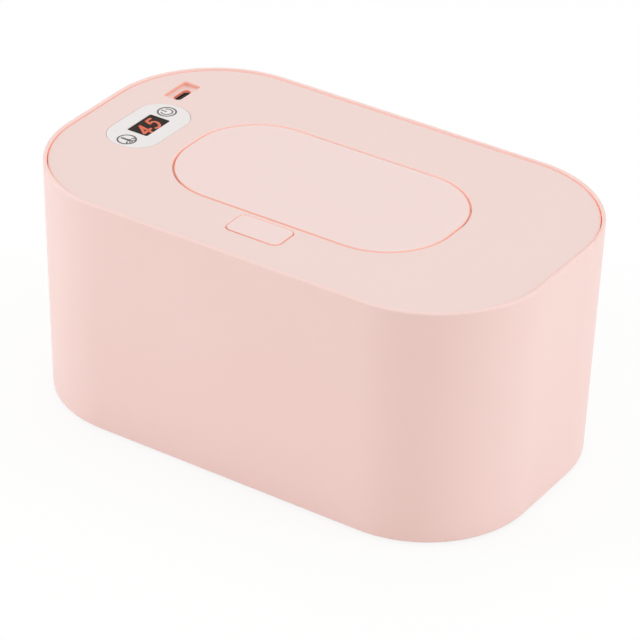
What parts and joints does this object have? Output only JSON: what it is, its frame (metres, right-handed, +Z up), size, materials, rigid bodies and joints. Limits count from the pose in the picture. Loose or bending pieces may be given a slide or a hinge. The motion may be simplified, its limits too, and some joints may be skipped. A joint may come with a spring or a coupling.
{
  "type": "baby wipe warmer",
  "caption": "Rounded tub with a lift-off heated lid, a flip lid over the wipe opening, a release button, a touch display and a power socket.",
  "frame": {"origin": "middle of the footprint, on the surface that the feet stand on", "axes": "+X along the long side to the right of the front, -Y out of the front with the release button, +Z up"},
  "size_m": [0.21, 0.1256, 0.0996],
  "materials": {
    "shell_pink": "satin moulded ABS, pale pink",
    "flap_pink": "satin moulded ABS, slightly lighter pink",
    "bin_white": "moulded polypropylene, warm white",
    "panel_white": "smooth moulded panel, white",
    "smoked_lens": "polished dark lens",
    "silicone": "moulded soft silicone",
    "foot_rubber": "moulded rubber",
    "grey_foam": "closed-cell foam sheet",
    "aluminium": "rolled sheet",
    "amber_film": "polyimide film with etched element",
    "board_green": "solder-masked circuit board",
    "steel": "plated steel",
    "nylon": "moulded nylon",
    "black_plastic": "moulded black plastic",
    "lead_red": "silicone wire insulation"
  },
  "bodies": {
    "tub": {"outer_tub": "shell_pink", "inner_bin": "bin_white", "foam_wrap": "grey_foam", "foot_front_left": "foot_rubber", "foot_front_right": "foot_rubber", "foot_rear_left": "foot_rubber", "foot_rear_right": "foot_rubber", "base_screw_1": "steel", "base_screw_2": "steel", "base_screw_3": "steel", "base_screw_4": "steel"},
    "lid": {"lid_cover": "shell_pink", "lid_tray": "bin_white", "lid_seal": "silicone", "tray_screw_1": "steel", "tray_screw_2": "steel", "tray_screw_3": "steel", "tray_screw_4": "steel", "tray_screw_5": "steel", "tray_screw_6": "steel", "wipe_orifice": "silicone", "heater_film": "amber_film", "heating_plate": "aluminium", "thermostat": "steel", "heater_lead_live": "lead_red", "heater_lead_return": "black_plastic", "control_board": "board_green", "board_screw_1": "steel", "board_screw_2": "steel", "board_screw_3": "steel", "digit_module": "black_plastic", "display_panel": "panel_white", "display_window": "smoked_lens", "touch_spring_front": "steel", "touch_spring_rear": "steel", "socket_shell": "steel", "socket_tongue": "black_plastic", "hinge_pin": "steel", "hinge_spring": "steel", "latch_keeper": "nylon", "keeper_screw_1": "steel", "keeper_screw_2": "steel", "latch_spring": "steel"},
    "flip_lid": {"flip_lid": "flap_pink", "flip_lid_seal": "silicone"},
    "release_button": {"release_button": "flap_pink"},
    "latch_slider": {"latch_slider": "nylon"}
  },
  "joints": [
    {"name": "lid_lift", "type": "slide", "parent": "tub", "child": "lid", "axis": [0, 0, 1], "range_m": [0, 0.06]},
    {"name": "flip_lid_hinge", "type": "hinge", "parent": "lid", "child": "flip_lid", "pos_m": [0.0005, 0.03505, 0.0949], "axis": [-1, 0, 0], "range_deg": [0, 95]},
    {"name": "button_press", "type": "slide", "parent": "lid", "child": "release_button", "axis": [0, 0, -1], "range_m": [0, 0.0016], "stiffness_N_per_m": 400, "springref_m": -0.002},
    {"name": "latch_slide", "type": "slide", "parent": "lid", "child": "latch_slider", "axis": [0, -1, 0], "range_m": [0, 0.0016], "deforming": ["latch_spring"]}
  ],
  "couplings": [
    {"joint": "latch_slide", "follows": "button_press", "ratio": 1}
  ]
}
